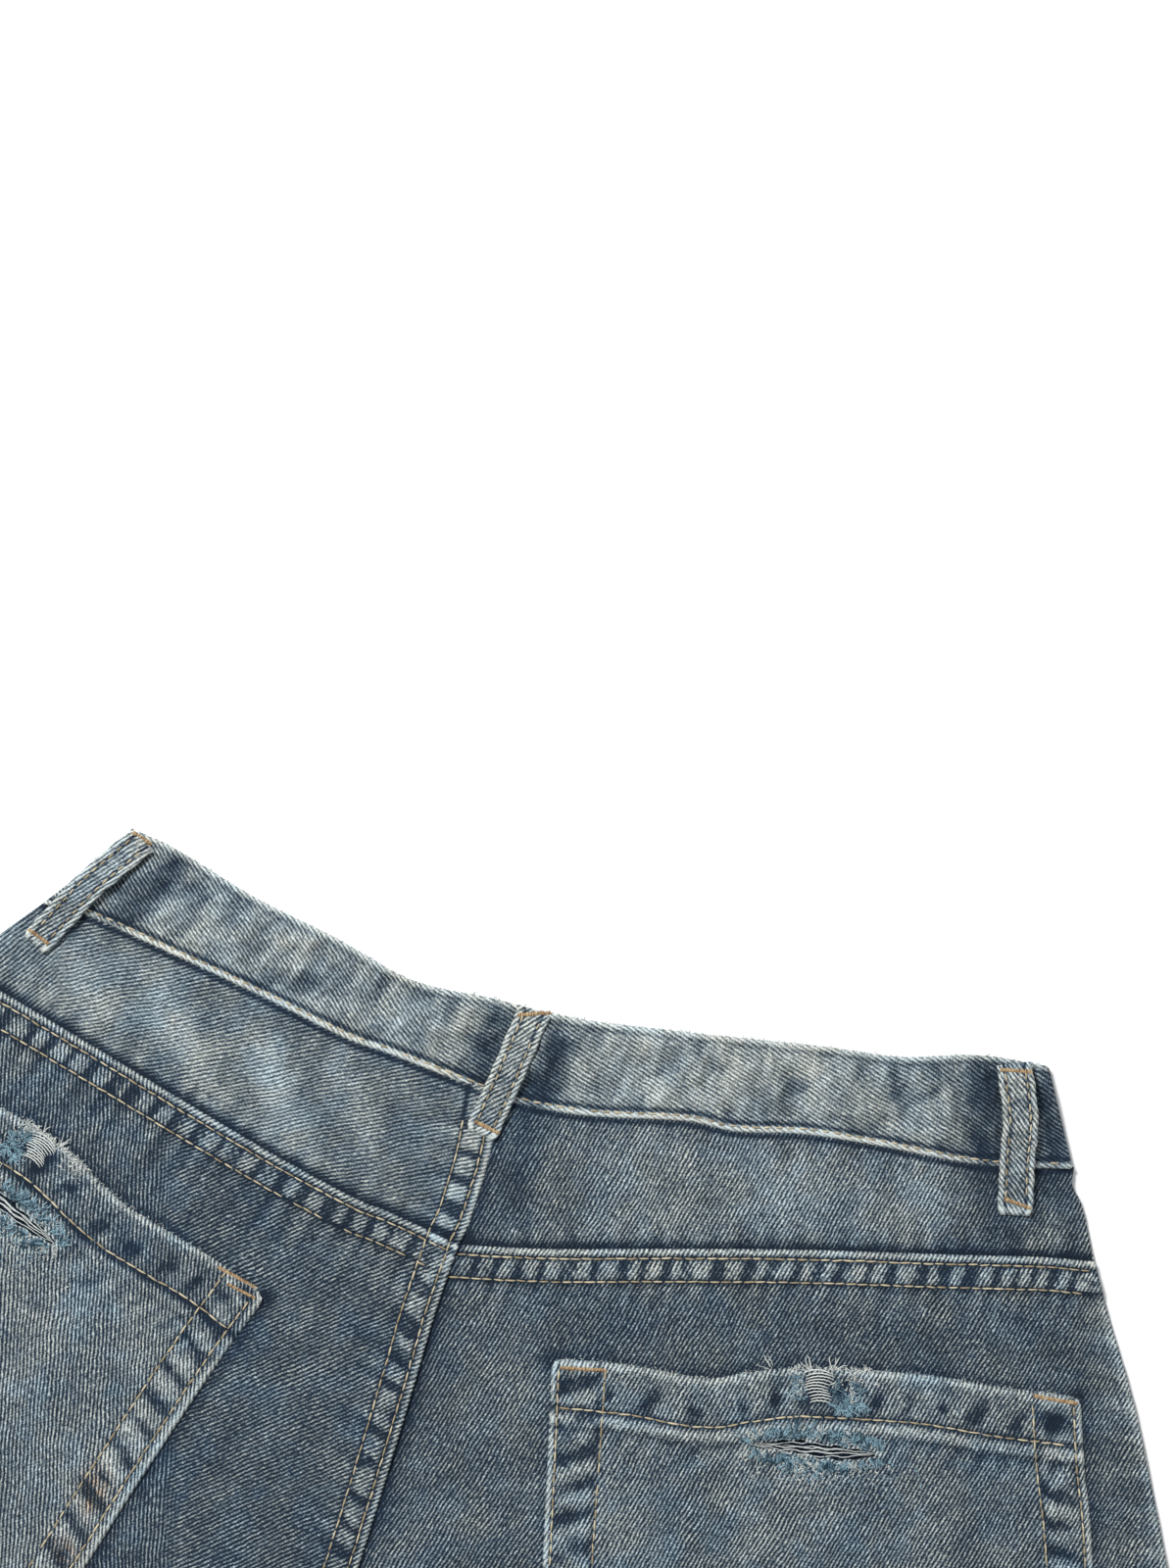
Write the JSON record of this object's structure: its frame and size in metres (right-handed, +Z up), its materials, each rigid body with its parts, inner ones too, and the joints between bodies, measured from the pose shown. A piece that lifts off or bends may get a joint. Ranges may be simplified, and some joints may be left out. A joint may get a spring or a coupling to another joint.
{
  "type": "ripped jeans",
  "caption": "Washed blue baggy jeans laid flat with the back up, with ripped and frayed back pockets, yokes, waistband and belt loops",
  "frame": {"origin": "middle of the base of the whole flat garment, on the surface that it lies on", "axes": "+Z up off the surface, +Y from the hems towards the waistband, +X towards the wearer's right"},
  "size_m": [0.9832, 1.1058, 0.0144],
  "materials": {
    "body_denim": "washed mid-blue twill, worn pale on its ridges",
    "waistband_denim": "the same twill, washed paler, with near-white worn edges",
    "pocket_denim": "the same twill, frayed and ripped, with off-white yarns bared",
    "loop_denim": "the same twill with pale edges, tacked in orange-gold thread",
    "stitching_thread": "faded khaki-gold sewing thread, orange-gold at the tacks",
    "bared_yarn": "off-white weft and light blue fluff at the rips and frayed edges",
    "button_brass": "aged brass"
  },
  "bodies": {
    "root": {"waistband": "waistband_denim", "back_yoke_left": "body_denim", "back_yoke_right": "body_denim", "back_panel_left": "body_denim", "back_panel_right": "body_denim", "front_panel_left": "body_denim", "front_panel_right": "body_denim", "back_pocket_left": "pocket_denim", "back_pocket_right": "pocket_denim", "belt_loop_centre_back": "loop_denim", "belt_loop_back_left": "loop_denim", "belt_loop_back_right": "loop_denim", "belt_loop_front_left": "loop_denim", "belt_loop_front_right": "loop_denim", "waist_button": "button_brass"}
  },
  "joints": []
}
